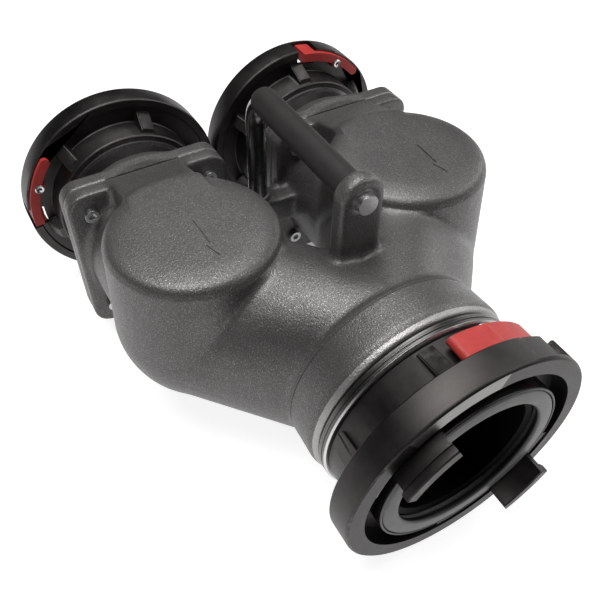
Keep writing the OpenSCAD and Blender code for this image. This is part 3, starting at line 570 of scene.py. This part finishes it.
def cast_skin(node, voxel, inner, outer, triangles):
    """The node as a casting: soft fillets inside, rounds outside, in a mesh of its own."""
    points, quads = soften(clean_copy(node), voxel, inner, outer)
    bm = bmesh.new()
    verts = [bm.verts.new(p) for p in points.tolist()]
    for q in quads.tolist():
        bm.faces.new([verts[i] for i in q])
    if bm.calc_volume(signed=True) < 0:
        bmesh.ops.reverse_faces(bm, faces=bm.faces)
    for _ in range(2):
        bmesh.ops.smooth_vert(bm, verts=bm.verts, factor=0.5,
                              use_axis_x=True, use_axis_y=True, use_axis_z=True)
    mesh = bpy.data.meshes.new(node + "_skin")
    bm.to_mesh(mesh)
    bm.free()
    smooth(mesh, 60)
    o = new_object(node + "_skin", mesh, MAT[slot_of[node]], body_of_node(node))
    if 2 * len(quads) > triangles:
        d = o.modifiers.new("fewer", "DECIMATE")
        d.ratio = triangles / (2 * len(quads))
    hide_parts(node)
    return o


def ease(x, lo, hi):
    """0 below lo, 1 above hi, and a smooth step between them."""
    t = min(max((x - lo) / (hi - lo), 0), 1)
    return t * t * (3 - 2 * t)


def chamber_form(mesh):
    """Leans a chamber's wall in towards its roof, which is fuller at its edge and falls away to it."""
    level_r, edge = 0.065, 0.011                        # the roof's level part, and the round at its edge
    lean, shift_x, shift_y = 0.0058, 0.0011, 0.0022     # draft at the top, and how far its middle moves
    fall, fall_start, fall_run = 0.0044, 0.038, 0.033   # how the roof falls away, and between which radii
    for v in mesh.vertices:
        x, y, z = abs(v.co.x) - ROOF_X, v.co.y - ROOF_Y, v.co.z
        r = math.hypot(x, y)
        if z < 0 or not 0.030 <= r <= 0.090:
            continue
        off_neck = 1 - ease(y, 0.010, 0.034) * ease(-abs(x), -0.041, -0.031)
        # a tighter round at the roof's edge
        a, b = (r - level_r) / edge, (z - (ROOF_Z - edge)) / edge
        if a > 0 and b > 0:
            rho = math.hypot(a, b)
            full = rho / (a ** 3 + b ** 3) ** (1 / 3)
            k = 1 + (full - 1) * ease(rho, 0.6, 0.9) * off_neck
            r2, z = level_r + edge * a * k, ROOF_Z - edge + edge * b * k
            x, y, r = x * r2 / r, y * r2 / r, r2
        # draft
        near = ease(r, 0.045, 0.062) * (1 - ease(r, 0.078, 0.088))
        up = min(z / 0.085, 1.0) * near * off_neck
        k = (r - lean * up) / r
        x, y = x * k + shift_x * up, y * k + shift_y * up
        r -= lean * up
        # crown
        t = min(max((r - fall_start) / fall_run, 0), 1)
        on_roof = ease(z, 0.079, 0.088) * (1 - ease(r, 0.0750, 0.0800)) * off_neck
        z -= fall * t ** 2.6 * on_roof
        v.co = (math.copysign(ROOF_X + x, v.co.x), ROOF_Y + y, z)


def slim_boss(mesh):
    """The boss round the handle rod's foot narrows towards its top."""
    reach, shoulder, top, narrowing = 0.022, 0.0142, 0.0180, 0.16
    for v in mesh.vertices:
        x, y = v.co.x, v.co.y - ROD_Y
        r = math.hypot(x, y)
        if v.co.z > shoulder and r < reach:
            k = 1 - narrowing * ease(v.co.z, shoulder, top) * ease(r, 0.007, 0.012)
            v.co.x, v.co.y = x * k, ROD_Y + y * k


casting = cast_skin("body", voxel=0.0015, inner=0.004, outer=0.0007, triangles=190000)
chamber_form(casting.data)
slim_boss(casting.data)
for s in SIDES:
    cast_skin(s + "_inlet_plate", voxel=0.0011, inner=0.0025, outer=0.0006, triangles=90000)

for n in list(nodes):
    if n.endswith(("lug_ring", "lever", "_tail", "end_ring", "face_seal")):
        rounded(n, 0.0006)
    elif n.endswith("flange_bolts"):
        rounded(n, 0.0014, segments=3)


# ------------------------------------------------------------------ the flow arrows cast on the roofs
def flow_arrow(name, tail, tip):
    """A plain raised arrow with a thin shaft, a long narrow head and soft upper edges."""
    half_shaft, half_head, head_length = 0.0007, 0.0046, 0.0150
    sunk, proud, soft = 0.0006, 0.0010, 0.0003
    tail, tip = Vector((*tail, 0)), Vector((*tip, 0))
    d = (tip - tail).normalized()
    side = Vector((-d.y, d.x, 0))
    neck = tip - d * head_length
    right_side = [tail - side * half_shaft, neck - side * half_shaft, neck - side * half_head]
    left_side = [neck + side * half_head, neck + side * half_shaft, tail + side * half_shaft]
    outline = [*right_side, tip, *left_side]
    bm = bmesh.new()
    low = [bm.verts.new((p.x, p.y, ROOF_Z - sunk)) for p in outline]
    high = [bm.verts.new((p.x, p.y, ROOF_Z + proud)) for p in outline]
    bm.faces.new(high)
    for i in range(len(outline)):
        j = (i + 1) % len(outline)
        bm.faces.new((low[i], low[j], high[j], high[i]))
    bmesh.ops.recalc_face_normals(bm, faces=bm.faces)
    upper = [e for e in bm.edges if all(v.co.z > ROOF_Z for v in e.verts)]
    bmesh.ops.bevel(bm, geom=upper, offset=soft, segments=2, affect="EDGES")
    mesh = bpy.data.meshes.new(name)
    bm.to_mesh(mesh)
    bm.free()
    smooth(mesh, 50)
    new_object(name, mesh, MAT["casting"], "housing")


flow_arrow("left_flow_arrow", (-0.0990, 0.2425), (-0.0980, 0.1957))
flow_arrow("right_flow_arrow", (0.1148, 0.2389), (0.1132, 0.1946))


# ------------------------------------------------------------------ stage
FLOOR_HALF = 6.0
FLOOR_GAP = 0.0003                                      # the floor lies just under the rings


def stage_floor():
    """A pale floor, white to the camera and in reflections; the shadow close round the part is mostly
    painted, as ambient occlusion dims its white glow.
    """
    m = Nodes("floor_white")
    path = m.tree.nodes.new("ShaderNodeLightPath")
    looked_at = m.math("MAXIMUM", path.outputs["Is Camera Ray"], path.outputs["Is Glossy Ray"])
    seen = m.math("MAXIMUM", looked_at, path.outputs["Is Transmission Ray"])
    m.set(Base_Color=(0.45, 0.45, 0.45, 1), Roughness=0.9)
    m.bsdf.inputs["Specular IOR Level"].default_value = 0.0
    occlusion_for_painted_shadow = m.tree.nodes.new("ShaderNodeAmbientOcclusion")
    occlusion_for_painted_shadow.inputs["Distance"].default_value = 0.25
    glow = m.tree.nodes.new("ShaderNodeEmission")
    glow.inputs["Color"].default_value = (1, 1, 1, 1)
    # painted shadow: the white glow fades where the part hides the floor
    m.link(m.range(occlusion_for_painted_shadow.outputs["AO"], 0.05, 0.17, 0.02, 0.88), glow.inputs["Strength"])
    lit = m.tree.nodes.new("ShaderNodeAddShader")
    m.link(m.bsdf.outputs[0], lit.inputs[0])
    m.link(glow.outputs[0], lit.inputs[1])
    choice = m.tree.nodes.new("ShaderNodeMixShader")
    m.link(seen, choice.inputs[0])
    m.link(m.bsdf.outputs[0], choice.inputs[1])
    m.link(lit.outputs[0], choice.inputs[2])
    m.link(choice.outputs[0], m.out.inputs["Surface"])
    mesh = bpy.data.meshes.new("floor")
    s, z = FLOOR_HALF, RIM_Z - FLOOR_GAP
    mesh.from_pydata([(-s, -s, z), (s, -s, z), (s, s, z), (-s, s, z)], [], [(0, 1, 2, 3)])
    mesh.materials.append(m.mat)
    o = bpy.data.objects.new("floor", mesh)
    bpy.context.scene.collection.objects.link(o)


def white_world():
    """White behind everything to the camera, and almost no light from it on the part."""
    world = bpy.data.worlds.new("world")
    bpy.context.scene.world = world
    world.use_nodes = True
    tree = world.node_tree
    dim = tree.nodes["Background"]
    dim.inputs["Color"].default_value = (1, 1, 1, 1)
    dim.inputs["Strength"].default_value = 0.02
    white = tree.nodes.new("ShaderNodeBackground")
    white.inputs["Strength"].default_value = 1.0
    path = tree.nodes.new("ShaderNodeLightPath")
    choice = tree.nodes.new("ShaderNodeMixShader")
    tree.links.new(path.outputs["Is Camera Ray"], choice.inputs[0])
    tree.links.new(dim.outputs[0], choice.inputs[1])
    tree.links.new(white.outputs[0], choice.inputs[2])
    tree.links.new(choice.outputs[0], tree.nodes["World Output"].inputs["Surface"])


LIGHT_DISTANCE = 1.5
PART_MIDDLE = Vector((0, 0.2, 0))


def soft_box(name, elevation, azimuth, size, power):
    """A square soft light aimed at the part's middle, placed by its direction in degrees."""
    e, a = math.radians(elevation), math.radians(azimuth)
    to_light = Vector((math.cos(e) * math.cos(a), math.cos(e) * math.sin(a), math.sin(e)))
    data = bpy.data.lights.new(name, "AREA")
    data.shape = "RECTANGLE"
    data.size = data.size_y = size
    data.energy = power
    light = bpy.data.objects.new(name, data)
    bpy.context.scene.collection.objects.link(light)
    light.location = PART_MIDDLE + to_light * LIGHT_DISTANCE
    light.rotation_mode = "QUATERNION"
    light.rotation_quaternion = to_light.to_track_quat("Z", "Y")


stage_floor()
white_world()
soft_box("left_overhead", 71, 180, 0.60, 11.5)
soft_box("overhead", 86, 60, 0.60, 8.0)
soft_box("back_right", 64, 62, 0.60, 4.8)
soft_box("right", 40, -20, 0.80, 5.0)
soft_box("low_right", 20, 10, 0.60, 3.2)
